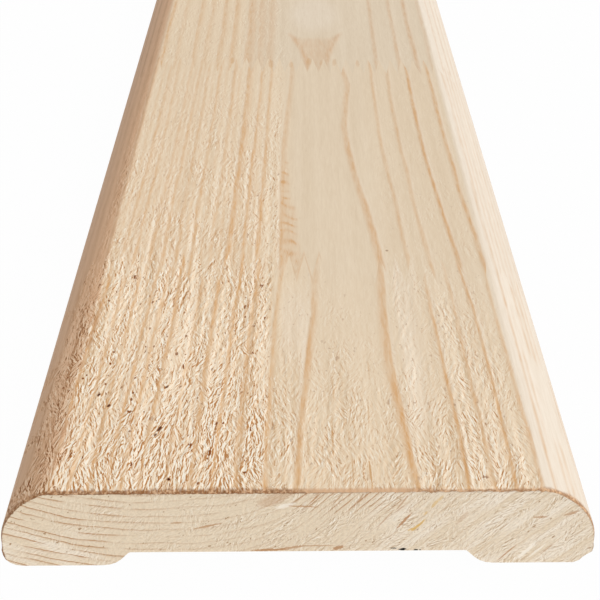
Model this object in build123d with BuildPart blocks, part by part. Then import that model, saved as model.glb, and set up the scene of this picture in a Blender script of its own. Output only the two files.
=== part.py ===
from build123d import *
import math
import os

# Softwood architrave moulding: a flat sawn face between two planed round edges, over a hollow back.
# The stick lies on the two feet of its back. X runs across its width, Y along its length and Z from the
# back up to the face, with the origin under the middle of the stick. Lengths are millimetres.

# The stick as it is sold
length = 2200.0
width = 70.0
thickness = 13.0

# Edges: a low straight wall on an eased arris carries a round, which the sawn face cuts off at an angle
side_height = 3.0
arris_radius = 2.0
face_angle = 20.0

# Back: a shallow hollow between two feet lets the stick bridge an uneven wall
foot_width = 13.0
hollow_depth = 2.4
flank_angle = 50.0
foot_round = 3.0
hollow_fillet = 0.5

# Most of a wall's length that the rounds at its ends may take up
round_share = 0.9

# Places on the section that follow from those sizes
half_width = width / 2
edge_radius = (thickness - side_height) / math.cos(math.radians(face_angle))
face_half = half_width - edge_radius * (1 - math.sin(math.radians(face_angle)))
foot_inside = half_width - foot_width
hollow_half = foot_inside - hollow_depth / math.tan(math.radians(flank_angle))

# Rounds, limited by the low walls that they ease
arris_ease = min(arris_radius, round_share * side_height)
flank_length = hollow_depth / math.sin(math.radians(flank_angle))
flank_radii = round_share * flank_length / math.tan(math.radians(flank_angle / 2))
foot_ease = min(foot_round, flank_radii - hollow_fillet)

with BuildPart() as moulding:
    with BuildSketch(Plane.XZ):
        with BuildLine():
            right_back = [
                (hollow_half, hollow_depth),
                (foot_inside, 0),
                (half_width, 0),
                (half_width, side_height),
            ]
            left_back = [(-x, z) for x, z in reversed(right_back)]
            eases = [hollow_fillet, foot_ease, arris_ease]
            back = FilletPolyline(*left_back, *right_back, radius=[*reversed(eases), *eases])
            right_edge = TangentArc(back @ 1, (face_half, thickness), tangent=back % 1)
            left_edge = TangentArc(back @ 0, (-face_half, thickness), tangent=-(back % 0))
            Line(left_edge @ 1, right_edge @ 1)
        make_face()
    extrude(amount=length / 2, both=True)

moulding.part.label = "architrave_moulding"

os.makedirs("parts", exist_ok=True)
export_step(moulding.part, "parts/architrave_moulding.step")
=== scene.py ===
import math

import bpy
import numpy as np
from mathutils import Euler, Matrix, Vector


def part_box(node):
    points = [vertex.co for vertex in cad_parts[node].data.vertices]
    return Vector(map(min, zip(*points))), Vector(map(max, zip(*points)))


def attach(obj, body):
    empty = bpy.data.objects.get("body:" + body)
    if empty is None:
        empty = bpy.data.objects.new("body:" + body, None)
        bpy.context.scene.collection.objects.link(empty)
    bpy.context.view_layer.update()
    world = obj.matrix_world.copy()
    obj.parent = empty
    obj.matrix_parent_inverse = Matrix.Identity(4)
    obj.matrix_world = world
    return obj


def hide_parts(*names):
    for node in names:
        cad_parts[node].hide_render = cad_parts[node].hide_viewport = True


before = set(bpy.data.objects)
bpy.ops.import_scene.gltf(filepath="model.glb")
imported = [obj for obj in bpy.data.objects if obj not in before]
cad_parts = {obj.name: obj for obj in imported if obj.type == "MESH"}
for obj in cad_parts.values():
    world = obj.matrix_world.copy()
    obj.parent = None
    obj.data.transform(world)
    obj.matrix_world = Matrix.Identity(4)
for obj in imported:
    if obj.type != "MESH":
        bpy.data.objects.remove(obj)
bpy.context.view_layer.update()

# The front block: the first of the short pine lengths that the stick is glued up from.
# It is softwood, finger-jointed into the next block, fine-sawn on its face and planed on its edges and back.
# Its sawn end and torn, fuzzy face are what the eye meets first, so its mesh is the finest.

NODE = "architrave_moulding"
MM = 0.001
stick_low, stick_high = (np.array(corner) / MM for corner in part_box(NODE))
HALF_WIDTH = stick_high[0]
THICKNESS = stick_high[2]
NEAR_END = stick_low[1]
LENGTH = stick_high[1] - stick_low[1]

# Section of the moulding, in mm and degrees
SIDE_HEIGHT = 3.0
ARRIS_RADIUS = 2.0
FACE_ANGLE = 20.0
FOOT_WIDTH = 13.0
HOLLOW_DEPTH = 2.4
FLANK_ANGLE = 50.0
FOOT_ROUND = 3.0
HOLLOW_FILLET = 0.5
EDGE_RADIUS = (THICKNESS - SIDE_HEIGHT) / math.cos(math.radians(FACE_ANGLE))
EDGE_CENTRE = HALF_WIDTH - EDGE_RADIUS
FACE_HALF = EDGE_CENTRE + EDGE_RADIUS * math.sin(math.radians(FACE_ANGLE))

# Finger joints: so many fingers over the flat of the face, and how far the joint's fit is spread into a block
FINGERS = 25
FINGER_LENGTH = 6.8
FINGER_PITCH = 2 * FACE_HALF / FINGERS
JOINT_SKEW = -0.05
JOINT_REACH = 14.0

ROUND_STEPS = 26
ROUND_GRADING = 1.4


def arc(centre_x, centre_z, radius, degrees):
    """Points of the section on an arc, at these angles."""
    turn = np.radians(degrees)
    return np.stack([centre_x + radius * np.cos(turn), centre_z + radius * np.sin(turn)], 1)


def level(across, height):
    """Points of the section at one height."""
    return np.stack([across, np.full(len(across), height)], 1)


def face_outline(steps):
    """The section from the left wall over the face to the right wall, with steps to half a finger's pitch."""
    spread = np.linspace(0, 1, ROUND_STEPS + 1) ** ROUND_GRADING
    right = arc(EDGE_CENTRE, SIDE_HEIGHT, EDGE_RADIUS, (90 - FACE_ANGLE) * (1 - spread))
    flat = np.linspace(-FACE_HALF, FACE_HALF, 2 * FINGERS * steps + 1)[1:-1]
    return np.concatenate([right[::-1] * (-1, 1), level(flat, THICKNESS), right])


def back_outline():
    """The section from the right wall under the feet and the hollow to the left wall."""
    flank = math.radians(FLANK_ANGLE)
    inside = HALF_WIDTH - FOOT_WIDTH
    foot_flat = inside + FOOT_ROUND * math.tan(flank / 2)
    roof_flat = inside - HOLLOW_DEPTH / math.tan(flank) - HOLLOW_FILLET * math.tan(flank / 2)
    tips = FINGER_PITCH / 2 * np.arange(math.floor(HALF_WIDTH / FINGER_PITCH * 2), 0, -1)
    sole = tips[(tips < HALF_WIDTH - ARRIS_RADIUS) & (tips > foot_flat)]
    roof = tips[tips < roof_flat]
    right = np.concatenate([
        arc(HALF_WIDTH - ARRIS_RADIUS, ARRIS_RADIUS, ARRIS_RADIUS, np.linspace(0, -90, 5)),
        level(sole, 0.0),
        arc(foot_flat, FOOT_ROUND, FOOT_ROUND, np.linspace(-90, -90 - FLANK_ANGLE, 4)),
        arc(roof_flat, HOLLOW_DEPTH - HOLLOW_FILLET, HOLLOW_FILLET, np.linspace(90 - FLANK_ANGLE, 90, 3)),
        level(roof, HOLLOW_DEPTH),
    ])
    return np.concatenate([right, [(0.0, HOLLOW_DEPTH)], right[::-1] * (-1, 1)])


def into_wood(outline):
    """Unit normals of the closed outline, pointing into the wood."""
    along = np.roll(outline, -1, axis=0) - np.roll(outline, 1, axis=0)
    along /= np.linalg.norm(along, axis=1, keepdims=True)
    return np.stack([along[:, 1], -along[:, 0]], 1)


def fingers(across):
    """How far the joint stands along the stick at each place across it, from the joint's middle line."""
    swing = np.abs(2 * (((across + FACE_HALF) / FINGER_PITCH) % 1) - 1)
    return FINGER_LENGTH * (swing - 0.5) + JOINT_SKEW * across


def ease(low, high, value):
    """Smooth step from 0 at low to 1 at high."""
    share = np.clip((value - low) / (high - low), 0, 1)
    return share * share * (3 - 2 * share)


def graded(start, stop, first, last):
    """Rows from start to stop whose spacing grows from first to last."""
    count = max(int(round((stop - start) / math.sqrt(first * last))), 2)
    steps = first * (last / first) ** np.linspace(0, 1, count)
    return np.concatenate([[start], start + np.cumsum(steps) * (stop - start) / steps.sum()])


class Patch:
    """A field over a flat patch of wood, kept in steps of one cell and read between them."""

    def __init__(self, low, high, cell):
        self.low = low
        self.cell = cell
        self.across = np.arange(low[0], high[0] + 2 * cell, cell)
        self.along = np.arange(low[1], high[1] + 2 * cell, cell)
        self.value = np.zeros((len(self.across), len(self.along)))

    def grid(self):
        return np.meshgrid(self.across, self.along, indexing="ij")

    def read(self, across, along):
        u = np.clip((across - self.low[0]) / self.cell, 0, len(self.across) - 1.001)
        v = np.clip((along - self.low[1]) / self.cell, 0, len(self.along) - 1.001)
        return between(self.value, u, v, lambda share: share)


def between(knots, u, v, smooth):
    """Values between the knots of a grid."""
    i, j = u.astype(int), v.astype(int)
    s, t = smooth(u - i), smooth(v - j)
    near = knots[i, j] * (1 - t) + knots[i, j + 1] * t
    far = knots[i + 1, j] * (1 - t) + knots[i + 1, j + 1] * t
    return near * (1 - s) + far * s


def soft_noise(across, along, size, rng):
    """Smooth noise between -1 and 1, with features of the given size across and along."""
    low = np.array([across.min(), along.min()])
    high = np.array([across.max(), along.max()])
    knots = rng.uniform(-1, 1, np.ceil((high - low) / size).astype(int) + 3)
    return between(knots, (across - low[0]) / size[0], (along - low[1]) / size[1], lambda s: ease(0, 1, s))


def lay_fibres(patch, torn, count, length, width, rise, slant, rng):
    """Lays loose fibres where torn is high, each a raised strand with a torn-out groove beside it."""
    slants = slant * soft_noise(*patch.grid(), (4.0, 6.0), rng)
    reach = int(math.ceil((length[1] / 2 + 2 * width[1]) / patch.cell))
    for _ in range(count):
        i, j = (rng.integers(0, size) for size in torn.shape)
        size, thick, high = (rng.uniform(*span) for span in (length, width, rise))
        tilt, bend, side = rng.normal(0, 0.15), rng.normal(0, 0.25), rng.choice((-1, 1))
        if rng.random() > torn[i, j]:
            continue
        rows = slice(max(i - reach, 0), i + reach + 1)
        columns = slice(max(j - reach, 0), j + reach + 1)
        across = patch.across[rows, None] - patch.across[i]
        along = patch.along[None, columns] - patch.along[j]
        turn = tilt + slants[i, j]
        run = along * math.cos(turn) + across * math.sin(turn)
        off = across * math.cos(turn) - along * math.sin(turn) - bend * run * run / size
        taper = np.clip(1 - (2 * run / size) ** 2, 0, 1)
        strand = np.exp(-((off / thick) ** 2))
        groove = np.exp(-(((off - side * 2 * thick) / (1.1 * thick)) ** 2))
        patch.value[rows, columns] += high * taper * (strand - 0.9 * groove)


# Late wood: how the lines lean through the thickness, and how far out they go on over the edges and the back
RING_LEAN = (-1.0, 0.7)
LAST_LINE = 60.0


def along_line(values, share):
    """Values given at even steps along a block, read at shares of its length."""
    values = np.atleast_1d(values)
    return np.interp(share, np.linspace(0, 1, len(values)), values)


def by_place(rows, across, along, start, stop):
    """Values given as rows of a place across, and the value there at a block's near and far end."""
    share = np.clip((along - start) / (stop - start), 0, 1)
    places, near, far = zip(*rows)
    return np.interp(across, places, near) * (1 - share) + np.interp(across, places, far) * share


def late_wood(board, across, along, start, stop):
    """How dark the late wood is at each place of a board, and how strong the painted highlight just beside it.

    A line is its places across the block at even steps along it, its darkness and how far it fades towards the
    middle of the board. Its other side is crisp, with a pale painted highlight past it, where the raised late wood's
    edge catches the light. Beyond the last line, like ones follow at the same spacing.
    """
    share = (along - start) / (stop - start)
    shade, glint = np.zeros(across.shape), np.zeros(across.shape)
    for way, side in ((-1, board["left"]), (1, board["right"])):
        edge = abs(side[-1][0][-1])
        spacing = abs(edge - abs(side[-2][0][-1]))
        further = [((way * place,), *side[-1][1:]) for place in np.arange(edge + spacing, LAST_LINE, spacing)]
        for places, dark, fade in (*side, *further):
            line, dark, fade = (along_line(values, share) for values in (places, dark, fade))
            inward = way * (line - across)
            soft = 1 - ease(0.2 * fade, fade, inward)
            crisp = ease(-board["crisp"], 0, inward)
            shade = np.maximum(shade, dark * np.minimum(soft, crisp))
            # A painted highlight: a pale line just past the crisp side, where the raised late wood's edge catches the
            # light
            glint = np.maximum(glint, dark * ease(-0.8, -0.35, inward) * (1 - ease(-0.3, -0.05, inward)))
    if "figure" in board:
        shade = np.maximum(shade, board["figure"](across, along))
    return shade, glint


def zip_strip(upper, lower, points):
    """Triangles of the wall between two rows of points that both run from left to right."""
    faces = []
    i = j = 0
    while i < len(upper) - 1 or j < len(lower) - 1:
        step_up = j == len(lower) - 1
        if not step_up and i < len(upper) - 1:
            step_up = points[upper[i + 1], 0] < points[lower[j + 1], 0]
        if step_up:
            faces.append((lower[j], upper[i + 1], upper[i]))
            i += 1
        else:
            faces.append((lower[j], lower[j + 1], upper[i]))
            j += 1
    return faces


CAP_LIMIT = 33.4
CAP_ROWS = 30
CAP_MARGIN = 0.005
SHEET_SHARE = 0.66
CAP_HEIGHTS = (0.16, 0.04)


def build_block(name, start, stop, steps, rows, relief, caps=(False, False), cap_relief=None):
    """Makes one block of the stick as a closed mesh with its line, fibre and colour attributes.

    relief gives, for places on the block, the depth into the wood and the named attributes there.
    """
    face, back = face_outline(steps), back_outline()
    outline = np.concatenate([face, back])
    wide, loop = len(face), len(outline)
    across = np.broadcast_to(outline[:, 0], (len(rows), loop))
    along = np.broadcast_to(rows[:, None], across.shape)
    for at_joint, gap in ((not caps[0], along - start), (not caps[1], stop - along)):
        along = along + at_joint * fingers(across) * (1 - np.clip(gap / JOINT_REACH, 0, 1))
    height = np.broadcast_to(outline[:, 1], across.shape)
    lean = np.interp(across, (-HALF_WIDTH, HALF_WIDTH), RING_LEAN)
    depth, fields = relief(across, along, height, across + lean * (THICKNESS - height))
    inward = into_wood(outline)
    across = across + inward[:, 0] * depth
    height = height + inward[:, 1] * depth
    points = np.stack([across, along, height], -1).reshape(-1, 3)

    # Sheet of the face, edges and back
    index = np.arange(len(rows) * loop).reshape(len(rows), loop)
    turned = np.roll(index, -1, axis=1)
    quads = np.stack([index[:-1], turned[:-1], turned[1:], index[1:]], -1)
    faces = quads.reshape(-1, 4).tolist()
    girth = np.concatenate([[0], np.cumsum(np.linalg.norm(np.diff(outline, axis=0, append=outline[:1]), axis=1))])
    low = np.concatenate([np.interp(girth[:wide - 1], (0, girth[wide - 1]), (CAP_MARGIN, SHEET_SHARE - CAP_MARGIN)),
                          np.interp(girth[wide - 1:-1], (girth[wide - 1], girth[-1]),
                                    (SHEET_SHARE + CAP_MARGIN, 1 - CAP_MARGIN))])
    high = np.append(low[1:], 1 - CAP_MARGIN)
    high[wide - 2] = SHEET_SHARE - CAP_MARGIN
    floor = sum(CAP_HEIGHTS) + CAP_MARGIN
    rise = np.interp(rows, (start, stop), (floor, 1 - CAP_MARGIN))
    corners = np.empty(quads.shape + (2,))
    corners[..., 0] = np.stack([low, high, high, low], -1)
    corners[..., 1] = np.stack([rise[:-1], rise[:-1], rise[1:], rise[1:]], -1)[:, None]
    corners = corners.reshape(-1, 2)
    materials = np.zeros(len(faces), int)

    # Walls at both ends, gridded where the stick's own sawn end shows
    cap_corners = []
    for end, (row, sign) in enumerate(((0, 1), (len(rows) - 1, -1))):
        upper = index[row, :wide]
        lower = index[row, :wide - 1:-1]
        walls = []
        if caps[end] and cap_relief:
            inner = [c for c in range(wide) if abs(face[c, 0]) < CAP_LIMIT]
            drop = np.linspace(0, 1, CAP_ROWS + 2)[1:-1, None]
            top = points[upper[inner]]
            bottom = np.interp(top[:, 0], back[::-1, 0], back[::-1, 1])
            grid = np.empty((CAP_ROWS, len(inner), 3))
            grid[..., 0] = top[:, 0]
            grid[..., 2] = top[:, 2] + (bottom - top[:, 2]) * drop
            grid[..., 1] = top[:, 1] + sign * cap_relief(grid[..., 0], grid[..., 2])
            first = len(points)
            points = np.concatenate([points, grid.reshape(-1, 3)])
            cells = np.concatenate([[upper[inner]], first + np.arange(grid.size // 3).reshape(CAP_ROWS, -1)])
            patches = np.stack([cells[1:, :-1], cells[1:, 1:], cells[:-1, 1:], cells[:-1, :-1]], -1)
            walls += patches.reshape(-1, 4).tolist()
            left = [c for c in lower if points[c, 0] < -CAP_LIMIT]
            right = [c for c in lower if points[c, 0] > CAP_LIMIT]
            walls.append([*left, lower[len(left)], *cells[::-1, 0], *upper[:inner[0]][::-1]])
            walls.append([lower[-len(right) - 1], *right, *upper[inner[-1] + 1:][::-1], *cells[:, -1]])
            walls += zip_strip(cells[-1], lower[len(left):len(lower) - len(right)], points)
        else:
            walls += zip_strip(upper, lower, points)
        base = CAP_MARGIN + end * CAP_HEIGHTS[0]
        for wall in walls:
            wall = wall if sign > 0 else wall[::-1]
            faces.append(wall)
            for corner in wall:
                cap_corners.append((0.5 + points[corner, 0] / HALF_WIDTH * (0.5 - CAP_MARGIN),
                                    base + points[corner, 2] / THICKNESS * (CAP_HEIGHTS[end] - CAP_MARGIN)))
        materials = np.append(materials, np.full(len(walls), 1))

    mesh = bpy.data.meshes.new(name)
    mesh.from_pydata(((points + (0, NEAR_END, 0)) * MM).tolist(), [], faces)
    mesh.materials.append(long_grain)
    mesh.materials.append(end_grain)
    mesh.polygons.foreach_set("material_index", materials)
    mesh.shade_smooth()
    unrolled = mesh.uv_layers.new(name="OFBake")
    unrolled.data.foreach_set("uv", np.concatenate([corners, cap_corners]).ravel())
    ends = np.empty(len(mesh.edges) * 2, int)
    mesh.edges.foreach_get("vertices", ends)
    ends = ends.reshape(-1, 2)
    sharp = np.zeros(len(ends), bool)
    for row in (index[0], index[-1]):
        sharp |= ((ends >= row[0]) & (ends <= row[-1])).all(1)
    mesh.attributes.new("sharp_edge", "BOOLEAN", "EDGE").data.foreach_set("value", sharp)
    for label, field in fields.items():
        values = np.zeros(len(points), np.float32)
        values[:field.size] = field.ravel()
        mesh.attributes.new(label, "FLOAT", "POINT").data.foreach_set("value", values)
    piece = bpy.data.objects.new(name, mesh)
    bpy.context.collection.objects.link(piece)
    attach(piece, "root")
    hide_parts(NODE)
    return piece


def node(tree, kind, inputs=None, **settings):
    """Adds a shader node; an input is a value or the socket that feeds it."""
    made = tree.nodes.new(kind)
    for key, value in settings.items():
        setattr(made, key, value)
    for key, value in (inputs or {}).items():
        if isinstance(value, bpy.types.NodeSocket):
            tree.links.new(value, made.inputs[key])
        else:
            made.inputs[key].default_value = value
    return made


def maths(tree, operation, *values, clamp=False):
    """The result of a sum on sockets or numbers."""
    made = node(tree, "ShaderNodeMath", dict(enumerate(values)), operation=operation, use_clamp=clamp)
    return made.outputs[0]


def spread(tree, value, low, high, out_low=0.0, out_high=1.0):
    """A socket's range mapped smoothly to another."""
    made = node(tree, "ShaderNodeMapRange", {"Value": value, "From Min": low, "From Max": high,
                                             "To Min": out_low, "To Max": out_high},
                interpolation_type="SMOOTHSTEP")
    return made.outputs["Result"]


def tint(tree, share, first, second, mode="MIX"):
    """Two colours mixed by a share."""
    made = node(tree, "ShaderNodeMix", data_type="RGBA", blend_type=mode)
    for key, value in ((0, share), (6, first), (7, second)):
        if isinstance(value, bpy.types.NodeSocket):
            tree.links.new(value, made.inputs[key])
        else:
            made.inputs[key].default_value = value
    return made.outputs[2]


def stretched(tree, place, scale):
    """A place in mm scaled along each axis."""
    made = node(tree, "ShaderNodeVectorMath", {0: place, 1: scale}, operation="MULTIPLY")
    return made.outputs[0]


def noise(tree, place, scale, detail=2.0, roughness=0.5, distortion=0.0):
    """Noise at a place in mm, with so many features to the millimetre along each axis."""
    made = node(tree, "ShaderNodeTexNoise", {"Vector": stretched(tree, place, scale), "Scale": 1.0,
                                             "Detail": detail, "Roughness": roughness, "Distortion": distortion})
    return made.outputs["Fac"]


def ramp(tree, value, stops):
    """A value mapped through stops of (position, level)."""
    made = node(tree, "ShaderNodeValToRGB", {"Fac": value})
    while len(made.color_ramp.elements) < len(stops):
        made.color_ramp.elements.new(0.5)
    for element, (position, shade) in zip(made.color_ramp.elements, stops):
        element.position = position
        element.color = (shade, shade, shade, 1)
    return made.outputs["Color"]


def group(name, inputs, outputs):
    """An empty shader group with named sockets, and its two ends."""
    tree = bpy.data.node_groups.new(name, "ShaderNodeTree")
    for label, kind in inputs:
        tree.interface.new_socket(label, in_out="INPUT", socket_type=kind)
    for label, kind in outputs:
        tree.interface.new_socket(label, in_out="OUTPUT", socket_type=kind)
    return tree, tree.nodes.new("NodeGroupInput"), tree.nodes.new("NodeGroupOutput")


def place_in_mm(tree):
    """The place on the object in mm."""
    made = node(tree, "ShaderNodeTexCoord")
    return stretched(tree, made.outputs["Object"], (1 / MM, 1 / MM, 1 / MM))


def attribute(tree, label):
    """A field kept on the mesh."""
    return node(tree, "ShaderNodeAttribute", attribute_name=label).outputs["Fac"]


# Threads of torn wood: hatched strands that run along Y, but turn by an angle of their own in each torn patch.
# Relief is a strand's height less its height a small step to one side, so it reads as light falling from that side.
# The materials paint it as a painted highlight on the strands and painted shade in the grooves beside them.
threads, threads_in, threads_out = group(
    "torn_threads",
    (("Place", "NodeSocketVector"), ("Swing", "NodeSocketFloat")),
    (("Relief", "NodeSocketFloat"), ("Height", "NodeSocketFloat")))
SHADE_OFFSET = (-0.12, 0.03, 0.0)
spot = threads_in.outputs["Place"]
shaken = node(threads, "ShaderNodeTexNoise", {"Vector": stretched(threads, spot, (1.1, 0.7, 1.1)), "Scale": 1.0,
                                              "Detail": 2.0})
moved = node(threads, "ShaderNodeVectorMath", {0: shaken.outputs["Color"], 1: (1.6, 2.4, 0.0), 2: spot},
             operation="MULTIPLY_ADD")
patches = node(threads, "ShaderNodeTexVoronoi", {"Vector": stretched(threads, moved.outputs[0], (0.7, 0.35, 1.0)),
                                                 "Scale": 1.0}, voronoi_dimensions="2D")
own = node(threads, "ShaderNodeSeparateColor", {0: patches.outputs["Color"]})
angle = maths(threads, "MULTIPLY", maths(threads, "SUBTRACT", own.outputs[0], 0.5), threads_in.outputs["Swing"])
turned = node(threads, "ShaderNodeVectorRotate", {"Vector": spot, "Angle": angle}, rotation_type="Z_AXIS").outputs[0]
beside = node(threads, "ShaderNodeVectorMath", {0: turned, 1: SHADE_OFFSET}, operation="ADD").outputs[0]
ridge, groove = (noise(threads, at, (2.5, 0.75, 1.0), detail=2.5, roughness=0.6) for at in (turned, beside))
strength = spread(threads, own.outputs[1], 0.0, 1.0, 0.6, 1.4)
relief = maths(threads, "MULTIPLY", maths(threads, "SUBTRACT", ridge, groove), strength)
threads.links.new(relief, threads_out.inputs["Relief"])
threads.links.new(maths(threads, "MULTIPLY", ridge, strength), threads_out.inputs["Height"])


def about_zero(tree, value, gain):
    """A value around 0.5 moved to zero and scaled."""
    return maths(tree, "MULTIPLY", maths(tree, "SUBTRACT", value, 0.5), gain)


def grey(tree, value):
    """A value as a grey colour."""
    return node(tree, "ShaderNodeCombineColor", {0: value, 1: value, 2: value}).outputs[0]


def warmed(tree, shade):
    """A shade about zero as a colour about white, which goes orange where it is dark."""
    parts = [maths(tree, "MULTIPLY_ADD", shade, gain, 1.0) for gain in (0.75, 1.0, 1.35)]
    return node(tree, "ShaderNodeCombineColor", dict(enumerate(parts))).outputs[0]


def blend(tree, share, first, second):
    """Two values mixed by a share."""
    return maths(tree, "MULTIPLY_ADD", maths(tree, "SUBTRACT", second, first), share, first)


def mark(tree, colour, across, up, spot, ragged):
    """Paints a spot over a colour: its middle, its half sizes, its lean in degrees, its colour and its strength."""
    (middle_across, middle_up), (long_half, short_half), lean, paint, strength = spot
    off_across = maths(tree, "SUBTRACT", across, middle_across)
    off_up = maths(tree, "SUBTRACT", up, middle_up)
    cosine, sine = math.cos(math.radians(lean)), math.sin(math.radians(lean))
    run = maths(tree, "MULTIPLY_ADD", off_across, cosine / long_half, maths(tree, "MULTIPLY", off_up, sine / long_half))
    rise = maths(tree, "MULTIPLY_ADD", off_up, cosine / short_half,
                 maths(tree, "MULTIPLY", off_across, -sine / short_half))
    gap = maths(tree, "MULTIPLY_ADD", run, run, maths(tree, "MULTIPLY_ADD", rise, rise, ragged))
    return tint(tree, spread(tree, gap, 0.3, 1.1, strength, 0.0), colour, paint)


# Long grain: the sawn face, planed edges and back
EARLY = (0.81, 0.645, 0.455, 1)
CALM = (0.765, 0.635, 0.475, 1)
LATE = (0.69, 0.39, 0.165, 1)
BLUSH = (0.67, 0.42, 0.235, 1)
# Painted highlight on raised strands, and painted shade in torn grooves and holes. The pit colour also rings the pitch
# specks as a stain.
STRAND_HIGHLIGHT = (1.0, 0.94, 0.81, 1)
PIT_SHADE_AND_STAIN = (0.48, 0.215, 0.07, 1)
HOLLOW_SHADE = (0.25, 0.075, 0.012, 1)
SPECK = (0.045, 0.004, 0.0, 1)
CANAL = (0.60, 0.33, 0.13, 1)
# The crushed arris at a sawn end: painted shade on its strip, a lit copy on the right round, and dark painted shadow
# among its frayed fibres
SHADED_ARRIS = (0.58, 0.36, 0.21, 1)
LIT_ARRIS = (0.70, 0.42, 0.22, 1)
ARRIS_SHADOW = (0.235, 0.095, 0.03, 1)
# The left round's brown is mostly painted shade, as it turns from the key light, and the right round's paleness is
# painted light where it faces it. Late wood, strands and pits get shaded copies on the left.
SHADED_LEFT_EDGE = (0.675, 0.424, 0.256, 1)
SHADED_LEFT_LATE = (0.46, 0.25, 0.13, 1)
SHADED_STRAND_HIGHLIGHT = (0.90, 0.68, 0.48, 1)
SHADED_EDGE_PIT = (0.26, 0.105, 0.033, 1)
LIT_PALE_EDGE = (0.875, 0.765, 0.635, 1)
TORN_WARMTH = (1.07, 1.04, 1.02, 1)
# Pitch specks and open resin canals on the face, in mm from the near end
FACE_MARKS = (
    ((-14.6, 1.9), (0.26, 0.22), 0, SPECK, 1.0), ((-16.5, 10.0), (0.55, 0.2), 65, SPECK, 0.9),
    ((-16.9, 9.0), (0.3, 0.16), 70, SPECK, 0.7), ((-24.7, 16.0), (0.32, 0.17), 70, SPECK, 0.9),
    ((-23.2, 14.0), (0.34, 0.17), 60, SPECK, 0.9), ((-16.4, 17.4), (0.3, 0.16), 50, SPECK, 0.8),
    ((13.5, 47.1), (0.24, 0.22), 0, SPECK, 0.35), ((1.3, 6.5), (3.2, 0.13), 91, CANAL, 0.4),
    ((4.2, 8.0), (4.5, 0.13), 89, CANAL, 0.4), ((4.5, 17.0), (3.0, 0.12), 92, CANAL, 0.35),
    ((6.4, 3.0), (2.6, 0.13), 90, CANAL, 0.5), ((8.4, 2.5), (2.6, 0.14), 92, CANAL, 0.8),
    ((8.7, 12.0), (2.4, 0.12), 88, CANAL, 0.4), ((9.2, 20.5), (2.2, 0.12), 91, CANAL, 0.3),
    ((-12.9, 115.0), (1.8, 0.5), 90, CANAL, 0.4), ((-5.1, 113.2), (2.4, 0.55), 92, CANAL, 0.45),
    ((-1.0, 112.8), (1.6, 0.5), 90, CANAL, 0.3), ((2.6, 114.2), (2.0, 0.6), 88, CANAL, 0.35),
    ((5.0, 113.6), (1.6, 0.4), 90, CANAL, 0.2), ((7.7, 113.8), (2.0, 0.5), 86, CANAL, 0.3),
    ((12.4, 113.2), (1.8, 0.45), 90, CANAL, 0.3))
long_grain = bpy.data.materials.new("pine_long_grain")
long_grain.use_nodes = True
tree = long_grain.node_tree
shader = tree.nodes["Principled BSDF"]
place = place_in_mm(tree)
split = node(tree, "ShaderNodeSeparateXYZ", {0: place})
across = split.outputs["X"]
# side: below zero, the painted shade of the left round; above zero, the painted light of the right round, pale early
# wood and the painted highlights beside late lines
side = attribute(tree, "side")
brown = maths(tree, "MULTIPLY", side, -1.0, clamp=True)
blush = attribute(tree, "blush")
early = tint(tree, blush, EARLY, CALM)
early = tint(tree, maths(tree, "MULTIPLY", side, 1.0, clamp=True), early, LIT_PALE_EDGE)
early = tint(tree, brown, early, SHADED_LEFT_EDGE)
late = tint(tree, brown, tint(tree, blush, LATE, BLUSH), SHADED_LEFT_LATE)
ragged = noise(tree, place, (2.2, 0.4, 2.2), detail=2)
late_share = maths(tree, "MULTIPLY", attribute(tree, "late"), spread(tree, ragged, 0.25, 0.75, 0.55, 1.3), clamp=True)
dark_streak = spread(tree, noise(tree, place, (2.4, 0.05, 2.4), detail=1), 0.56, 0.70, 0.0, 0.12)
late_share = maths(tree, "MAXIMUM", late_share, maths(tree, "MULTIPLY", dark_streak, brown))
colour = tint(tree, late_share, early, late)
sawn = attribute(tree, "sawn")
fine = noise(tree, place, (4.0, 0.35, 4.0), detail=3)
broad = noise(tree, place, (0.8, 0.02, 0.8), detail=2)
lane = noise(tree, place, (1.2, 0.035, 1.2), detail=1)
streak = maths(tree, "ADD", about_zero(tree, fine, 0.55), about_zero(tree, broad, 0.45))
streak = maths(tree, "MULTIPLY", streak, maths(tree, "MULTIPLY_ADD", brown, 0.1, 0.35))
streak = maths(tree, "MULTIPLY_ADD", about_zero(tree, lane, 0.8), spread(tree, sawn, 0.1, 0.6), streak)
colour = tint(tree, 1.0, colour, warmed(tree, streak), "MULTIPLY")
colour = tint(tree, 1.0, colour, grey(tree, attribute(tree, "tone")), "MULTIPLY")
colour = tint(tree, sawn, colour, tint(tree, 1.0, colour, TORN_WARMTH, "MULTIPLY"))
near_threads = node(tree, "ShaderNodeGroup", {"Place": place, "Swing": 1.0}, node_tree=threads)
far_threads = node(tree, "ShaderNodeGroup", {"Place": stretched(tree, place, (0.75, 0.7, 0.75)), "Swing": 0.5},
                   node_tree=threads)
coarse = attribute(tree, "coarse")
thread_relief, thread_height = (
    blend(tree, coarse, near_threads.outputs[label], far_threads.outputs[label]) for label in ("Relief", "Height"))
# Painted light and shade on the torn threads: a highlight on the raised strands, shade in the grooves beside them
torn = maths(tree, "MULTIPLY", thread_relief, sawn)
raised = maths(tree, "MULTIPLY", torn, 9.0, clamp=True)
shaded_groove = maths(tree, "MULTIPLY", maths(tree, "ADD", torn, 0.01), -9.0, clamp=True)
colour = tint(tree, maths(tree, "MULTIPLY", raised, 0.95), colour, tint(tree, brown, STRAND_HIGHLIGHT, SHADED_STRAND_HIGHLIGHT))
colour = tint(tree, shaded_groove, colour, tint(tree, brown, PIT_SHADE_AND_STAIN, SHADED_EDGE_PIT))
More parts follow.
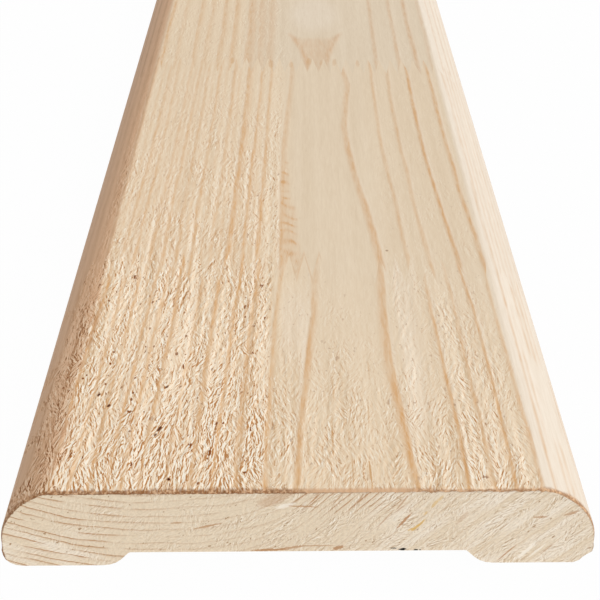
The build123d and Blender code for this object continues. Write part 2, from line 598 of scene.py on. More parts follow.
# Painted shade in small holes among the torn fibres
shaded_pits = spread(tree, noise(tree, place, (1.9, 0.9, 1.9), detail=1), 0.70, 0.76)
colour = tint(tree, maths(tree, "MULTIPLY", shaded_pits, sawn, clamp=True), colour, HOLLOW_SHADE)
frayed = noise(tree, place, (2.8, 2.8, 2.8), detail=4, roughness=0.6)
ragged = about_zero(tree, frayed, 2.0)
from_end = maths(tree, "SUBTRACT", split.outputs["Y"], NEAR_END)
for middle, (long_half, short_half), lean, paint, strength in FACE_MARKS:
    if paint is SPECK:
        halo = (middle, (1.3 * long_half, 1.5 * short_half), lean, PIT_SHADE_AND_STAIN, 0.8 * strength)
        colour = mark(tree, colour, across, from_end, halo, ragged)
    spot = (middle, (long_half, short_half), lean, paint, strength)
    colour = mark(tree, colour, across, from_end, spot, ragged)
# Painted shade on the crushed arris strip, lighter where the key light falls on the right round, with dark painted
# shadow among its frayed fibres
clean = maths(tree, "MULTIPLY", spread(tree, across, -2, 3), spread(tree, across, 11, 15, 1.0, 0.25))
frayed = maths(tree, "MULTIPLY", spread(tree, frayed, 0.36, 0.56), maths(tree, "SUBTRACT", 1.0, clean))
crushed = tint(tree, frayed, tint(tree, spread(tree, across, 24, 30), SHADED_ARRIS, LIT_ARRIS), ARRIS_SHADOW)
colour = tint(tree, maths(tree, "MULTIPLY", attribute(tree, "arris_shade"), 0.92), colour, crushed)
tree.links.new(colour, shader.inputs["Base Color"])
tree.links.new(spread(tree, maths(tree, "ADD", sawn, streak), -0.2, 1.0, 0.55, 0.85), shader.inputs["Roughness"])
ridges = maths(tree, "MULTIPLY_ADD", thread_height, sawn, maths(tree, "MULTIPLY", fine, 0.3))
bump = node(tree, "ShaderNodeBump", {"Height": ridges, "Strength": 1.0, "Distance": 0.000025})
tree.links.new(bump.outputs["Normal"], shader.inputs["Normal"])
shader.inputs["Specular IOR Level"].default_value = 0.15

# End grain: rings cut across by the saw. They lie level at one place, climb gently to its left and curve up to
# a steep slope on its right; the saw's strokes lean one way all over.
RING_LEVEL = -17.0
RING_LEFT = 0.0147
RING_RIGHT = 0.00104
RING_BEND = 20.0
END_RING = 1.22
STROKE_LEAN = math.radians(57)
END_EARLY = (0.785, 0.655, 0.487, 1)
END_LATE = (0.48, 0.265, 0.135, 1)
# The pale colour is dust on the cut and also the painted highlight on one side of the saw's strokes. The dark one is
# flecks and also the painted shade on their other side.
SAWDUST_AND_HIGHLIGHT = (0.93, 0.85, 0.73, 1)
SCRATCH_AND_SHADE = (0.40, 0.25, 0.135, 1)
AMBER = (0.70, 0.43, 0.12, 1)
UMBER = (0.47, 0.245, 0.115, 1)
# Near-black painted shadow inside the chips at the hollow's edge
CHIP_SHADOW = (0.012, 0.01, 0.008, 1)
# Marks on the end: amber and umber stains, pale sawdust, and painted shadow in the chips at the hollow's edge
END_MARKS = (
    ((13.7, 6.5), (0.95, 0.24), 52, AMBER, 0.8), ((14.3, 7.3), (0.8, 0.2), 58, AMBER, 0.7),
    ((13.2, 6.2), (0.5, 0.2), 30, AMBER, 0.7), ((14.7, 9.0), (0.5, 0.16), 60, AMBER, 0.5),
    ((15.6, 10.6), (0.9, 0.24), 66, AMBER, 0.5), ((16.2, 11.5), (0.7, 0.2), 60, AMBER, 0.45),
    ((12.3, 7.7), (1.75, 0.2), 60, UMBER, 0.9), ((19.0, 8.2), (1.5, 0.35), 60, UMBER, 0.3),
    ((-3.3, 2.65), (2.6, 0.22), 2, UMBER, 0.9), ((-0.8, 3.0), (1.8, 0.25), 12, UMBER, 0.7),
    ((2.2, 3.35), (2.4, 0.14), 0, UMBER, 0.6), ((4.8, 2.95), (0.85, 0.35), 25, UMBER, 0.85),
    ((-2.6, 11.6), (2.6, 1.0), 30, UMBER, 0.4), ((-1.4, 10.4), (1.3, 0.4), 20, SAWDUST_AND_HIGHLIGHT, 0.8),
    ((0.7, 10.3), (2.0, 0.16), -3, UMBER, 0.7), ((-10.4, 7.0), (2.1, 0.18), 17, UMBER, 0.75),
    ((31.4, 8.8), (1.0, 0.28), 25, UMBER, 0.65), ((28.0, 8.2), (0.95, 0.2), 3, UMBER, 0.65),
    ((-14.0, 7.6), (0.8, 0.18), 5, UMBER, 0.6), ((12.4, 2.62), (0.5, 0.24), 5, CHIP_SHADOW, 1.0),
    ((11.3, 2.8), (0.45, 0.14), 0, CHIP_SHADOW, 0.8), ((14.0, 2.5), (0.3, 0.16), 0, CHIP_SHADOW, 0.9),
    ((14.5, 2.5), (0.16, 0.14), 0, CHIP_SHADOW, 0.8), ((24.9, 1.9), (2.2, 0.12), 57, UMBER, 0.8),
    ((27.1, 2.1), (2.0, 0.32), 57, SAWDUST_AND_HIGHLIGHT, 0.9), ((28.4, 2.2), (1.7, 0.2), 57, SAWDUST_AND_HIGHLIGHT, 0.8),
    ((29.5, 2.4), (1.5, 0.1), 57, UMBER, 0.55), ((10.2, 8.2), (2.2, 0.1), 60, UMBER, 0.5),
    ((11.9, 10.8), (1.6, 0.12), 62, UMBER, 0.6), ((2.0, 11.6), (1.3, 0.13), 55, UMBER, 0.8),
    ((4.6, 11.5), (1.4, 0.1), 57, UMBER, 0.6), ((7.0, 11.4), (1.3, 0.1), 60, UMBER, 0.55))
end_grain = bpy.data.materials.new("pine_end_grain")
end_grain.use_nodes = True
tree = end_grain.node_tree
shader = tree.nodes["Principled BSDF"]
place = place_in_mm(tree)
split = node(tree, "ShaderNodeSeparateXYZ", {0: place})
side = split.outputs["X"]
up = split.outputs["Z"]
off = maths(tree, "SUBTRACT", side, RING_LEVEL)
left = maths(tree, "MINIMUM", off, 0.0)
right = maths(tree, "MINIMUM", maths(tree, "MAXIMUM", off, 0.0), RING_BEND)
beyond = maths(tree, "MAXIMUM", maths(tree, "SUBTRACT", off, RING_BEND), 0.0)
climb = maths(tree, "MULTIPLY", maths(tree, "MULTIPLY", left, left), RING_LEFT)
climb = maths(tree, "MULTIPLY_ADD", maths(tree, "POWER", right, 3.0), RING_RIGHT, climb)
climb = maths(tree, "MULTIPLY_ADD", beyond, 3 * RING_RIGHT * RING_BEND ** 2, climb)
ring = maths(tree, "SUBTRACT", up, climb)
bent = node(tree, "ShaderNodeCombineXYZ", {"X": ring, "Y": side}).outputs[0]
wander = noise(tree, bent, (0.3, 0.1, 1.0), detail=3)
turn = maths(tree, "FRACT", maths(tree, "MULTIPLY_ADD", ring, 1 / END_RING, maths(tree, "MULTIPLY", wander, 1.3)))
line = ramp(tree, turn, ((0.0, 0.0), (0.6, 0.06), (0.8, 0.35), (0.88, 1.0), (0.96, 1.0), (1.0, 0.0)))
broken = spread(tree, noise(tree, bent, (0.9, 0.22, 1.0), detail=2), 0.34, 0.52, 0.1, 1.0)
kept = spread(tree, side, -27, -12, 1.0, 0.3)
strokes_above = maths(tree, "MULTIPLY", spread(tree, up, 8.0, 10.5),
                      maths(tree, "MULTIPLY", spread(tree, side, -3, 1), spread(tree, side, 11, 16, 1.0, 0.0)))
kept = maths(tree, "MAXIMUM", kept, strokes_above)
line = maths(tree, "MULTIPLY", maths(tree, "MULTIPLY", line, broken), kept)
dust = maths(tree, "MULTIPLY", spread(tree, side, -27, -20, 1.0, 0.0), spread(tree, up, 4.0, 8.0, 1.0, 0.0))
dust = maths(tree, "MAXIMUM", dust, spread(tree, side, 4, 14))
haze = noise(tree, bent, (0.5, 0.15, 1.0), detail=2)
colour = tint(tree, maths(tree, "MULTIPLY", dust, spread(tree, haze, 0.38, 0.68, 0.0, 0.6)), END_EARLY, SAWDUST_AND_HIGHLIGHT)
colour = tint(tree, line, colour, END_LATE)
cosine, sine = math.cos(STROKE_LEAN), math.sin(STROKE_LEAN)
over = maths(tree, "MULTIPLY_ADD", side, sine, maths(tree, "MULTIPLY", up, -cosine))
onward = maths(tree, "MULTIPLY_ADD", side, cosine, maths(tree, "MULTIPLY", up, sine))
strokes = node(tree, "ShaderNodeCombineXYZ", {"X": over, "Y": onward}).outputs[0]
saw_strokes = node(tree, "ShaderNodeGroup", {"Place": stretched(tree, strokes, (1.15, 1.25, 1.0)), "Swing": 1.1},
                   node_tree=threads)
# The saw's strokes as painted light and shade: a painted highlight on one side of each and painted shade on the other
patchy = spread(tree, noise(tree, bent, (0.4, 0.15, 1.0), detail=1), 0.35, 0.65, 0.3, 1.2)
stroke_light_and_shade = maths(tree, "MULTIPLY", maths(tree, "MULTIPLY", saw_strokes.outputs["Relief"], patchy),
                spread(tree, side, -20, 12, 0.55, 1.1))
colour = tint(tree, maths(tree, "MULTIPLY", stroke_light_and_shade, 4.0, clamp=True), colour, SAWDUST_AND_HIGHLIGHT)
colour = tint(tree, maths(tree, "MULTIPLY", stroke_light_and_shade, -3.0, clamp=True), colour, SCRATCH_AND_SHADE)
speckle = noise(tree, place, (3.0, 0.0, 3.0), detail=3, roughness=0.65)
colour = tint(tree, 1.0, colour, grey(tree, spread(tree, speckle, 0.3, 0.7, 0.92, 1.06)), "MULTIPLY")
dots = spread(tree, noise(tree, stretched(tree, strokes, (2.6, 1.3, 1.0)), (1.0, 1.0, 1.0), detail=1), 0.66, 0.73)
rows_of_dots = spread(tree, noise(tree, bent, (0.9, 0.1, 1.0), detail=1), 0.48, 0.58)
colour = tint(tree, maths(tree, "MULTIPLY", maths(tree, "MULTIPLY", dots, rows_of_dots), 0.9), colour, SCRATCH_AND_SHADE)
ragged = about_zero(tree, speckle, 2.0)
for spot in END_MARKS:
    colour = mark(tree, colour, side, up, spot, ragged)
# Painted shadow along the end's top arris, just under the crushed strip, fainter to the right
past_face = maths(tree, "MAXIMUM", maths(tree, "SUBTRACT", maths(tree, "ABSOLUTE", side), EDGE_CENTRE), 0.0)
past_wall = maths(tree, "MAXIMUM", maths(tree, "SUBTRACT", up, SIDE_HEIGHT), 0.0)
from_edge = maths(tree, "SQRT", maths(tree, "ADD", maths(tree, "MULTIPLY", past_face, past_face),
                                      maths(tree, "MULTIPLY", past_wall, past_wall)))
from_edge = maths(tree, "MINIMUM", maths(tree, "SUBTRACT", EDGE_RADIUS - 0.1, from_edge),
                  maths(tree, "SUBTRACT", THICKNESS - 0.36, up))
from_edge = maths(tree, "ADD", from_edge, about_zero(tree, speckle, 0.5))
colour = tint(tree, maths(tree, "MULTIPLY", spread(tree, from_edge, 0.02, 0.2, 0.9, 0.0),
                          spread(tree, side, -2, 10, 1.0, 0.3)), colour, ARRIS_SHADOW)
tree.links.new(colour, shader.inputs["Base Color"])
shader.inputs["Roughness"].default_value = 0.85
shader.inputs["Specular IOR Level"].default_value = 0.15
bump = node(tree, "ShaderNodeBump", {"Height": maths(tree, "ADD", speckle, saw_strokes.outputs["Height"]),
                                     "Strength": 1.0, "Distance": 0.00002})
tree.links.new(bump.outputs["Normal"], shader.inputs["Normal"])

# Where the saw has torn the face, and how deep
PROUD = 0.12
FUZZ_DEPTH = 0.08
# How strongly the painted highlight beside each late line is added to the pale side
GLINT_GAIN = 0.35
LIP_START = FACE_HALF - 0.6
LIP_END = FACE_HALF + 1.4
TORN_REACH = FACE_HALF + 4.0
FRONT_JOINT = 42.7


def front_pale(across, along):
    """Paler early wood beside the front block's lines: a patch near the middle, and a painted highlight beside the
    right line, where the light catches the raised late wood's edge.
    """
    middle = ease(-2.6, -1.6, across) * (1 - ease(0.6, 2.2, across)) * ease(18, 28, along) * (1 - ease(32, 42, along))
    # Beside the right line: a painted highlight
    right = ease(13.2, 14.2, across) * (1 - ease(15.5, 17.5, across)) * ease(4, 14, along)
    return 0.3 * middle + 0.25 * right


FRONT_BOARD = {
    "left": (((-0.35, 0.1, 1.0, 2.1, 2.3), (0.8, 0.7, 0.75, 0.5, 0.4), (0.9, 0.9, 1.1, 1.3, 1.3)),
             ((-3.8, -3.8, -3.5, -3.1, -2.4), (0.75, 0.6, 0.6, 0.5, 0.4), 0.7),
             ((-7.1, -7.0, -6.7, -6.3, -5.8), 0.6, 0.9), ((-9.7, -9.5, -9.1, -8.8, -8.2), 0.8, 0.6),
             ((-12.4, -12.2, -11.9, -11.5, -11.1), 0.7, 0.8), ((-15.0, -14.8, -14.4, -13.9, -13.4), 0.5, 0.6),
             ((-17.9, -17.8, -17.4, -17.0, -16.8), 0.75, 0.6), ((-20.0, -19.9, -19.5, -19.0, -18.4), 0.65, 0.6),
             ((-21.7, -21.5, -21.1, -20.6, -20.2), 0.75, 0.5), ((-23.8, -23.6, -23.3, -22.9, -22.5), 0.6, 0.6),
             ((-25.9, -25.6, -25.3, -25.0, -24.7), 0.6, 0.5), ((-28.2, -28.1, -27.9, -27.4, -26.9), 0.85, 0.6),
             ((-30.4,), 0.45, 0.9)),
    "right": (((13.9, 13.0, 12.3, 12.4, 12.6), (0.75, 0.85, 0.65, 0.6, 0.5), (1.2, 1.2, 1.6, 1.6, 1.6)),
              ((19.4, 19.3, 18.9, 18.6, 18.5), (0.8, 0.8, 0.8, 0.8, 0.2), 0.5),
              ((22.4, 22.3, 22.0, 21.8, 21.7), (0.75, 0.7, 0.55, 0.5, 0.3), 0.5),
              ((24.8, 24.9, 24.7, 24.4, 23.7), (0.85, 0.8, 0.8, 0.75, 0.7), 0.45),
              ((27.6, 27.6, 27.5, 27.3, 27.1), (0.5, 0.6, 0.6, 0.5, 0.4), 0.5),
              ((29.4,), 0.55, 0.35), ((30.6,), 0.45, 0.35)),
    "crisp": 0.22,
    "pale": front_pale,
    "torn": ((-32.4, 0.0, 0.0), (-31.2, 0.9, 0.4), (-30.0, 1.2, 0.8), (-28.0, 1.3, 0.9), (-20.0, 1.15, 0.8),
             (-10.0, 1.15, 0.8),
             (-4.3, 1.15, 0.85), (-3.3, 0.55, 0.16), (-0.4, 0.55, 0.14), (0.5, 0.5, 0.1), (6.0, 0.5, 0.1),
             (12.2, 0.36, 0.0), (14.0, 0.5, 0.22), (19.0, 0.42, 0.2), (19.6, 0.6, 0.26), (22.4, 0.7, 0.2),
             (25.0, 0.64, 0.16), (27.4, 0.4, 0.1), (28.2, 0.0, 0.0)),
    "coarse": (0.0, 0.0, 0.3, 0.5, 0.65),
    "chip": (34.6, 0.7, 1.6, 0.6, 1.6),
    "tone": ((-3.0, 1.0, 1.0), (3.0, 0.99, 0.99)),
    "blush": ((-3.0, 0.0, 0.1), (3.0, 0.0, 0.6)),
}


def torn_face(start, stop, board, cell, density, seed, ends=(False, False)):
    """The relief of a sawn face: raised late wood, torn fibres and, at a sawn end, a crushed arris."""
    rng = np.random.default_rng(seed)
    corners = (-TORN_REACH, start - FINGER_LENGTH), (TORN_REACH, stop + FINGER_LENGTH)
    patch, sawn, sway, jag = (Patch(*corners, cell) for _ in range(4))
    grid = patch.grid()
    sway.value = 0.16 * soft_noise(*grid, (4.0, 12.0), rng) + 0.07 * soft_noise(*grid, (1.2, 3.0), rng)
    jag.value = 0.9 * soft_noise(*grid, (1.0, 2.4), rng) + 0.6 * soft_noise(*grid, (0.5, 0.9), rng)
    jag.value *= 0.7 * by_place(board["torn"], np.full(grid[0].shape, -FACE_HALF), grid[1], start, stop)
    late_there, _ = late_wood(board, grid[0] + sway.value, grid[1], start, stop)
    torn = by_place(board["torn"], grid[0] + jag.value * (grid[0] < -FACE_HALF), grid[1], start, stop)
    torn *= 1 - 0.7 * np.clip(1.4 * late_there, 0, 1)
    sawn.value = np.clip(torn * (1 + 0.25 * soft_noise(*grid, (1.6, 5.0), rng)), 0, 1.3)
    area = (corners[1][0] - corners[0][0]) * (corners[1][1] - corners[0][1])
    lay_fibres(patch, ease(0.15, 0.9, sawn.value), int(density * area), (1.0, 2.8), (0.12, 0.2), (0.02, 0.05), 0.4, rng)
    patch.value = FUZZ_DEPTH * np.tanh(patch.value / FUZZ_DEPTH) + 0.05 * late_there
    fray = soft_noise(patch.across[:, None], np.zeros((1, 1)), (0.5, 1.0), rng)[:, 0]
    joints = [place for place, end in zip((start, stop), ends) if not end]
    sawn_ends = [place for place, end in zip((start, stop), ends) if end]

    def relief(across, along, height, ring_place):
        upper = height > SIDE_HEIGHT
        on_face = (1 - ease(LIP_START, LIP_END, np.abs(across))) * upper
        flush = np.ones(across.shape)
        for joint in joints:
            flush = flush * ease(0.0, 1.2, np.abs(along - joint - fingers(across)))
        depth = np.clip(PROUD - patch.read(across, along) * flush, 0, None) * on_face
        late, glint = late_wood(board, ring_place + sway.read(across, along), along, start, stop)
        frayed = by_place(board["torn"], np.full(across.shape, -FACE_HALF - 2), along, start, stop)
        # Painted shade on the left round, reaching in over the torn lip, and painted light on the right round, with the
        # painted highlights beside the late lines
        left = ease(LIP_START - 0.8 * frayed, LIP_END - 0.4 - 0.3 * frayed, -across - jag.read(across, along))
        right = ease(FACE_HALF - 0.9, FACE_HALF + 0.5, across) + GLINT_GAIN * glint * on_face
        if "pale" in board:
            right = right + board["pale"](across, along) * upper
        fields = {"late": late,
                  "sawn": sawn.read(across, along) * upper,
                  "side": right - left,
                  "arris_shade": np.zeros(across.shape),
                  "coarse": along_line(board["coarse"], (along - start) / (stop - start)),
                  "tone": by_place(board["tone"], across, along, start, stop),
                  "blush": by_place(board["blush"], across, along, start, stop)}
        # At a sawn end the arris is crushed in the mesh, and its mask marks the strip that is painted with shade
        for end in sawn_ends:
            ragged = np.interp(across, patch.across, fray) * np.interp(across, (-3, 3, 11, 15), (1.0, 0.15, 0.15, 0.8))
            gap = np.abs(along - end)
            less = 1 - 0.4 * ease(FACE_HALF, FACE_HALF + 3, np.abs(across))
            crush = (0.22 + 0.16 * ragged) * (1 - ease(0.0, 0.4 + 0.16 * ragged, gap)) * less
            depth = depth + crush * upper
            narrow = np.interp(across, (13, 17, 27, 32), (1.0, 0.55, 0.7, 1.3))
            arris_shade = 1 - ease(0.2 * narrow, (0.62 + 0.34 * ragged) * narrow, gap)
            fields["arris_shade"] = np.maximum(fields["arris_shade"], arris_shade)
        if "chip" in board:
            chip_x, chip_z, size, deep, reach = board["chip"]
            gap = np.hypot(across - chip_x, height - chip_z)
            depth = depth + deep * (1 - ease(0.2 * size, size, gap)) * (1 - ease(0.3 * reach, reach, along - start))
        return depth, fields

    return relief


def sawn_end(seed):
    """The relief of a sawn end: short scratches and pulled fibres along the saw's strokes, in mm into the wood."""
    rng = np.random.default_rng(seed)
    patch = Patch((-40.0, -25.0), (35.0, 35.0), 0.15)
    torn = 0.6 + 0.4 * soft_noise(*patch.grid(), (4.0, 6.0), rng)
    lay_fibres(patch, torn, 9000, (0.8, 2.6), (0.14, 0.24), (0.01, 0.035), 0.3, rng)

    def relief(across, height):
        inside = ease(0, 1.5, CAP_LIMIT - np.abs(across))
        over = across * math.sin(STROKE_LEAN) - height * math.cos(STROKE_LEAN)
        onward = across * math.cos(STROKE_LEAN) + height * math.sin(STROKE_LEAN)
        return np.clip(0.04 - patch.read(over, onward), 0, 0.2) * inside

    return relief


front_rows = np.concatenate([[0.0, 0.08, 0.17, 0.27, 0.39, 0.53, 0.70], np.arange(0.9, FRONT_JOINT, 0.24)])
front_rows = np.append(front_rows[:-1], FRONT_JOINT)
front_block = build_block(
    "front_block", 0.0, FRONT_JOINT, 6, front_rows,
    torn_face(0.0, FRONT_JOINT, FRONT_BOARD, 0.1, 9.0, 11, ends=(True, False)),
    caps=(True, False), cap_relief=sawn_end(12))

# The second block: the next length of pine, cut from a calmer board.
# Same stock and same cutters, so the same section; its fibres lie flatter and its lines run on to the next joint.
SECOND_JOINT = 112.5


def hatched(across, along):
    """The brown band of short ticks, torn across the grain, beside the second block's innermost line."""
    limit = np.interp(along, (43, 46, 48.5, 58, 62, 76), (1.2, 0.9, 0.5, 0.1, -0.9, -1.3))
    inside = ease(-2.9, -2.4, across) * (1 - ease(limit - 0.9, limit + 0.3, across))
    fade = np.interp(along, (42, 46, 70, 80), (0.6, 1.0, 1.0, 0.0))
    beat = 2.6 * along + 1.5 * across + 1.1 * np.sin(0.7 * along) + 0.7 * np.sin(2.3 * across + 0.5 * along)
    tick = np.clip(np.sin(beat), 0, 1) ** 2 * (0.7 + 0.3 * np.sin(1.7 * along + 2.3 * across))
    seam = 1 - ease(0.7, 1.9, along - FRONT_JOINT - fingers(across))
    seam = seam * ease(-3.0, -2.5, across) * (1 - ease(3.2, 3.8, across))
    return np.maximum(inside * fade * (0.28 + 0.9 * tick), 0.35 * seam)


SECOND_BOARD = {
    "left": (((-2.4, -2.5, -2.5, -2.3, -1.8, -1.2, -0.8), (0.6, 0.6, 0.55, 0.45, 0.4, 0.35, 0.3), 1.0),
             ((-5.9, -5.7, -5.4, -5.1, -4.8), (0.75, 0.7, 0.6, 0.5, 0.45), 0.6),
             ((-8.0, -7.8, -7.5, -7.1, -6.7), (0.75, 0.7, 0.6, 0.5, 0.45), 0.6),
             ((-10.4, -10.1, -9.8, -9.6, -9.3), (0.8, 0.8, 0.7, 0.6, 0.6), 1.0),
             ((-12.9, -12.5, -12.1), (0.35, 0.45, 0.5), 0.7), ((-15.8, -15.4, -15.0), (0.7, 0.5, 0.45), 0.6),
             ((-18.1, -17.7, -17.4), (0.6, 0.45, 0.35), 0.6), ((-20.1, -19.6, -19.2), (0.65, 0.5, 0.35), 0.6),
             ((-21.9, -21.3, -21.0), (0.6, 0.45, 0.35), 0.6), ((-24.1, -23.7, -23.5), (0.6, 0.45, 0.35), 0.6),
             ((-26.0, -25.3, -25.0), (0.55, 0.5, 0.35), 0.6), ((-14.3, -13.9, -13.6), (0.3, 0.2), 0.5),
             ((-17.0, -16.6, -16.2), (0.3, 0.15), 0.5), ((-19.1, -18.7, -18.3), (0.25, 0.15), 0.5),
             ((-21.0, -20.5, -20.1), (0.3, 0.2), 0.5), ((-23.0, -22.5, -22.2), (0.25, 0.15), 0.5),
             ((-25.1, -24.5, -24.2), (0.25, 0.15), 0.5), ((-27.1, -26.6, -26.2), (0.3, 0.2), 0.5),
             ((-11.6, -11.3, -11.0), (0.3, 0.2), 0.5), ((-9.2, -8.9, -8.6), (0.3, 0.2), 0.5),
             ((-7.0, -6.7, -6.4), (0.25, 0.15), 0.5),
             ((-28.3,), 0.5, 0.8), ((-30.6,), 0.35, 1.2)),
    "right": (((12.7, 12.0, 11.2, 9.9, 9.3, 8.9, 9.4, 10.2, 9.0), (0.7, 0.65, 0.6, 0.65, 0.5, 0.5, 0.45), 1.2),
              ((16.8, 16.1, 15.5, 15.0, 14.9, 14.9, 14.9), 0.45, 0.6),
              ((19.8, 19.2, 18.6, 18.2, 18.1, 18.0, 18.2), 0.45, 0.6),
              ((24.0, 23.3, 22.6, 22.0, 21.9, 21.9, 22.0), 0.8, 0.55),
              ((27.5, 27.2, 26.6, 26.3, 26.1, 26.1, 26.2), (0.6, 0.7, 0.7, 0.6), 0.7),
              ((29.3,), 0.4, 0.35), ((30.4,), 0.25, 0.35)),
    "crisp": 0.45,
    "figure": hatched,
    "torn": ((-31.2, 0.0, 0.0), (-29.2, 0.4, 0.1), (-27.2, 0.5, 0.1), (-10.4, 0.5, 0.1), (-3.0, 0.55, 0.1),
             (-2.2, 0.12, 0.05), (0.4, 0.05, 0.0), (12.5, 0.05, 0.0), (13.2, 0.12, 0.03), (23.5, 0.14, 0.05),
             (27.0, 0.14, 0.05), (28.4, 0.0, 0.0)),
    "coarse": (0.75, 1.0, 1.0),
    "tone": ((-4.0, 1.0, 0.965), (0.0, 0.99, 0.97), (12.0, 0.99, 0.97), (15.0, 0.97, 0.96)),
    "blush": ((-4.0, 0.2, 0.2), (0.0, 0.6, 0.6), (12.0, 0.6, 0.6), (15.0, 0.4, 0.4)),
}
second_block = build_block(
    "second_block", FRONT_JOINT, SECOND_JOINT, 5, np.linspace(FRONT_JOINT, SECOND_JOINT, 226),
    torn_face(FRONT_JOINT, SECOND_JOINT, SECOND_BOARD, 0.14, 5.0, 21))

# The third block: a length with a pointed flame of grain just past its joint.
# The saw met the growth rings of this board almost flat, so the innermost ring opens as a pale tongue.
THIRD_JOINT = 398.0


def flame(point, reach, middle, half):
    """A flame of late wood: a cup with a level rim on a stem that starts at a point along the stick."""

    def figure(across, along):
        out = np.abs(across - middle) / half
        on = (along - point) / reach
        wall = np.interp(on, (0.0, 0.25, 0.5, 0.75, 1.0), (0.45, 0.55, 0.68, 0.9, 1.12))
        rim = 0.82 + 0.16 * ease(0.55, 1.1, out)
        inside = (1 - ease(wall - 0.12, wall + 0.08, out)) * (1 - ease(rim - 0.08, rim + 0.06, on)) * ease(-0.3, 0.0, on)
        border = 1 - ease(0.05, 0.35, wall - out)
        return inside * (0.34 + 0.3 * border)

    return figure


def third_pale(across, along):
    """The bleached heart of the flame."""
    return 0.35 * (1 - ease(0.5, 1.1, np.hypot((across - 4.0) / 6.0, (along - 139.0) / 11.0)))


THIRD_BOARD = {
    "left": (((-5.8, -5.8), 0.34, 2.0), ((-7.9, -7.9), 0.34, 2.2), ((-10.2, -10.4), 0.5, 2.3), ((-13.4, -13.7), 0.4, 1.4),
             ((-15.9, -16.3), 0.4, 1.2), ((-18.8, -19.0), 0.3, 1.2), ((-21.2, -21.5), 0.4, 1.2),
             ((-24.6, -24.8), 0.3, 0.8), ((-27.4, -27.6), 0.6, 0.7)),
    "right": (((16.4, 17.2), 0.5, 0.8), ((20.9, 21.6), 0.5, 0.8), ((24.4, 25.4), 0.65, 0.9), ((27.4, 28.0), 0.35, 0.7),
              ((30.0,), 0.3, 0.5)),
    "crisp": 0.45,
    "figure": flame(112.0, 17.0, 4.0, 5.2),
    "pale": third_pale,
    "torn": ((-31.0, 0.0, 0.0), (-27.4, 0.16, 0.14), (-4.0, 0.14, 0.12), (0.2, 0.03, 0.04), (10.6, 0.03, 0.04),
             (12.0, 0.05, 0.06), (24.0, 0.06, 0.06), (28.0, 0.0, 0.0)),
    "coarse": 1.0,
    "tone": ((-4.0, 0.945, 0.945), (1.0, 0.965, 0.955)),
    "blush": ((-12.0, 0.1, 0.1), (-9.5, 0.6, 0.6), (1.0, 0.9, 0.9)),
}
third_block = build_block(
    "third_block", SECOND_JOINT, THIRD_JOINT, 3, graded(SECOND_JOINT, THIRD_JOINT, 0.7, 3.5),
    torn_face(SECOND_JOINT, THIRD_JOINT, THIRD_BOARD, 0.3, 0.0, 31))

# The rest of the stick: seven more lengths of pine, jointed the same way up to the far sawn end.
# Each is cut from another board, so its rings and tone are its own; their fibre is left to the finish.
REST_JOINTS = (THIRD_JOINT, 611.0, 957.0, 1214.0, 1540.0, 1772.0, 2043.0, LENGTH)
REST_STEPS = 2
REST_ROW = 3.5
boards = np.random.default_rng(40)


def board_side(way, middle):
    """Lines of one side of a board, from its plain middle outward, drifting a little along the block."""
    lines = []
    place = middle + way * boards.uniform(3.0, 7.0)
    drift = boards.uniform(-2.5, 2.5)
    while abs(place) < HALF_WIDTH:
        lines.append(((place, place + drift), boards.uniform(0.3, 0.7), boards.uniform(0.6, 1.6)))
        place += way * boards.uniform(1.8, 4.2)
    return tuple(lines)


for number, (start, stop) in enumerate(zip(REST_JOINTS[:-1], REST_JOINTS[1:]), 4):
    last = stop == LENGTH
    middle = boards.uniform(-9, 9)
    board = {"left": board_side(-1, middle), "right": board_side(1, middle), "crisp": 0.5,
             "torn": ((-31.0, 0.0, 0.0), (-29.6, 0.16, 0.16), (middle - 5, 0.16, 0.16), (middle, 0.04, 0.04),
                      (middle + 5, 0.12, 0.12), (27.5, 0.12, 0.12), (28.2, 0.0, 0.0)),
             "coarse": 1.0, "tone": ((0.0, *boards.uniform(0.95, 1.0, 2)),), "blush": ((0.0, *boards.uniform(0.2, 1.0, 2)),)}
    if number % 2:
        board["figure"] = flame(start + boards.uniform(20, 90), 30.0, middle, 4.5)
    build_block("block_%02d" % number, start, stop, REST_STEPS, np.linspace(start, stop, int((stop - start) / REST_ROW)),
                torn_face(start, stop, board, 0.5, 0.0, 40 + number, ends=(False, last)),
                caps=(False, last), cap_relief=sawn_end(60) if last else None)

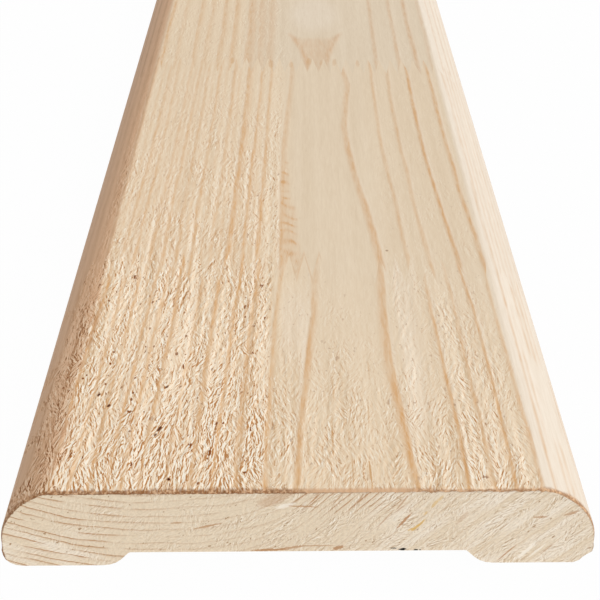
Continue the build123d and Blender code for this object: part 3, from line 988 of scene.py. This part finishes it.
# The floor is a plain white sheet that keeps the stick's shadow.
floor_mesh = bpy.data.meshes.new("floor")
FLOOR = 8.0
floor_mesh.from_pydata([(-FLOOR, -FLOOR, -0.0002), (FLOOR, -FLOOR, -0.0002), (FLOOR, FLOOR, -0.0002), (-FLOOR, FLOOR, -0.0002)],
                       [], [(0, 1, 2, 3)])
floor = bpy.data.objects.new("floor", floor_mesh)
bpy.context.collection.objects.link(floor)
white = bpy.data.materials.new("white_floor")
white.use_nodes = True
tree = white.node_tree
shader = tree.nodes["Principled BSDF"]
shader.inputs["Base Color"].default_value = (0.6, 0.6, 0.6, 1)
shader.inputs["Roughness"].default_value = 0.9
shader.inputs["Emission Color"].default_value = (1, 1, 1, 1)
path = node(tree, "ShaderNodeLightPath")
seen = maths(tree, "MAXIMUM", path.outputs["Is Camera Ray"],
             maths(tree, "MAXIMUM", path.outputs["Is Glossy Ray"], path.outputs["Is Transmission Ray"]))
glow = node(tree, "ShaderNodeEmission", {"Color": (1, 1, 1, 1), "Strength": 1.0})
mixed = node(tree, "ShaderNodeMixShader", {0: maths(tree, "MULTIPLY", seen, 0.98), 1: shader.outputs[0], 2: glow.outputs[0]})
tree.links.new(mixed.outputs[0], tree.nodes["Material Output"].inputs["Surface"])
floor_mesh.materials.append(white)

# The light is one broad key from the right and a white room.
key = bpy.data.objects.new("key", bpy.data.lights.new("key", "SUN"))
key.data.energy = 1.85
key.data.angle = math.radians(25)
key.rotation_euler = Euler((math.radians(38), math.radians(43), 0))
bpy.context.collection.objects.link(key)
world = bpy.data.worlds.new("white_room")
world.use_nodes = True
bpy.context.scene.world = world
tree = world.node_tree
backdrop = tree.nodes["Background"]
path = node(tree, "ShaderNodeLightPath")
seen = maths(tree, "MAXIMUM", path.outputs["Is Camera Ray"],
             maths(tree, "MAXIMUM", path.outputs["Is Glossy Ray"], path.outputs["Is Transmission Ray"]))
AMBIENT = 0.6
backdrop.inputs["Color"].default_value = (1, 1, 1, 1)
tree.links.new(maths(tree, "ADD", maths(tree, "MULTIPLY", seen, 1 - AMBIENT), AMBIENT), backdrop.inputs["Strength"])

# The camera looks along the stick from just past its near end.
camera = bpy.data.objects.new("camera", bpy.data.cameras.new("camera"))
camera.data.lens = 60.0
camera.data.sensor_width = 36.0
camera.data.clip_start = 0.01
camera.data.clip_end = 50.0
camera.location = (0.0004615, (NEAR_END - 75.685) * MM, 0.098320)
LOOK_DOWN = math.radians(37.6276)
TILT = math.radians(-0.3823)
aim = Matrix.Rotation(math.pi / 2 - LOOK_DOWN, 3, "X") @ Matrix.Rotation(TILT, 3, "Z")
camera.rotation_euler = aim.to_euler()
bpy.context.collection.objects.link(camera)
bpy.context.scene.camera = camera
bpy.context.scene.view_settings.view_transform = "Standard"
